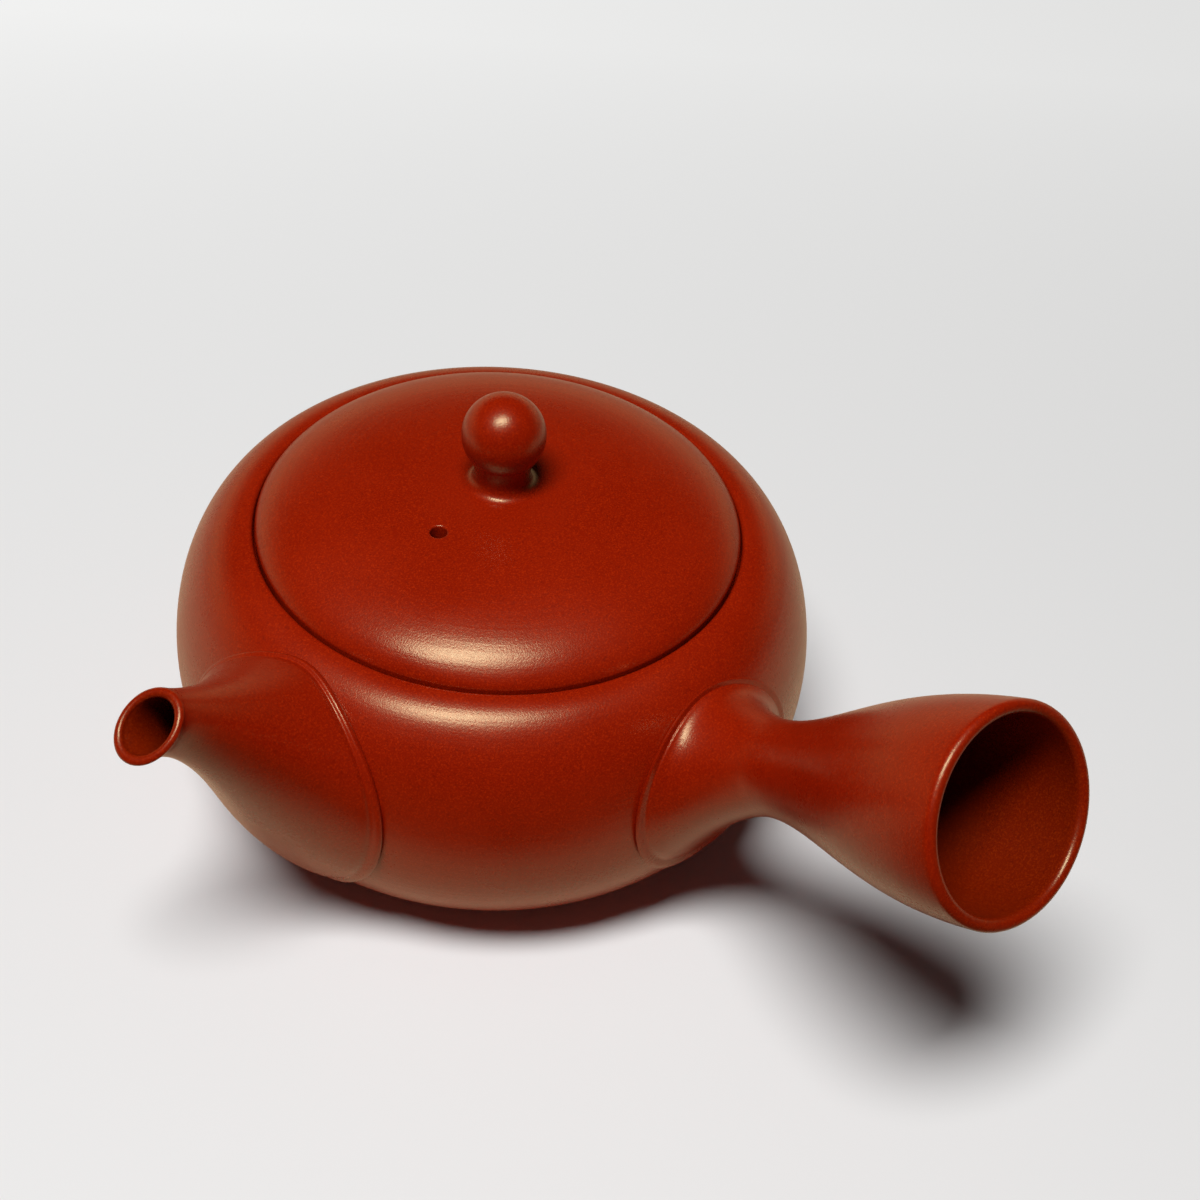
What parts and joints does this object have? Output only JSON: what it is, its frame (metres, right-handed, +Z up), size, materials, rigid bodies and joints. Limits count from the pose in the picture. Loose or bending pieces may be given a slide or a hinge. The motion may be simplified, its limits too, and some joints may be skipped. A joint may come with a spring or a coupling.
{
  "type": "side-handled teapot",
  "caption": "Side-handled teapot in unglazed red clay: squat bowl, luted spout with a domed strainer, hollow trumpet handle, and a lift-off domed lid with a ball knob.",
  "frame": {"origin": "centre of the flat foot, on the bowl's axis", "axes": "+Z up along the bowl's axis, spout along -X, handle nearly along -Y"},
  "size_m": [0.1376, 0.1669, 0.0812],
  "materials": {
    "red_clay": "satin, unglazed"
  },
  "bodies": {
    "pot": {"bowl": "red_clay", "spout": "red_clay", "handle": "red_clay", "strainer": "red_clay"},
    "lid": {"lid": "red_clay", "lid_knob": "red_clay"}
  },
  "joints": [
    {"name": "lid_lift", "type": "slide", "parent": "pot", "child": "lid", "axis": [0, 0, 1], "range_m": [0, 0.06]}
  ]
}
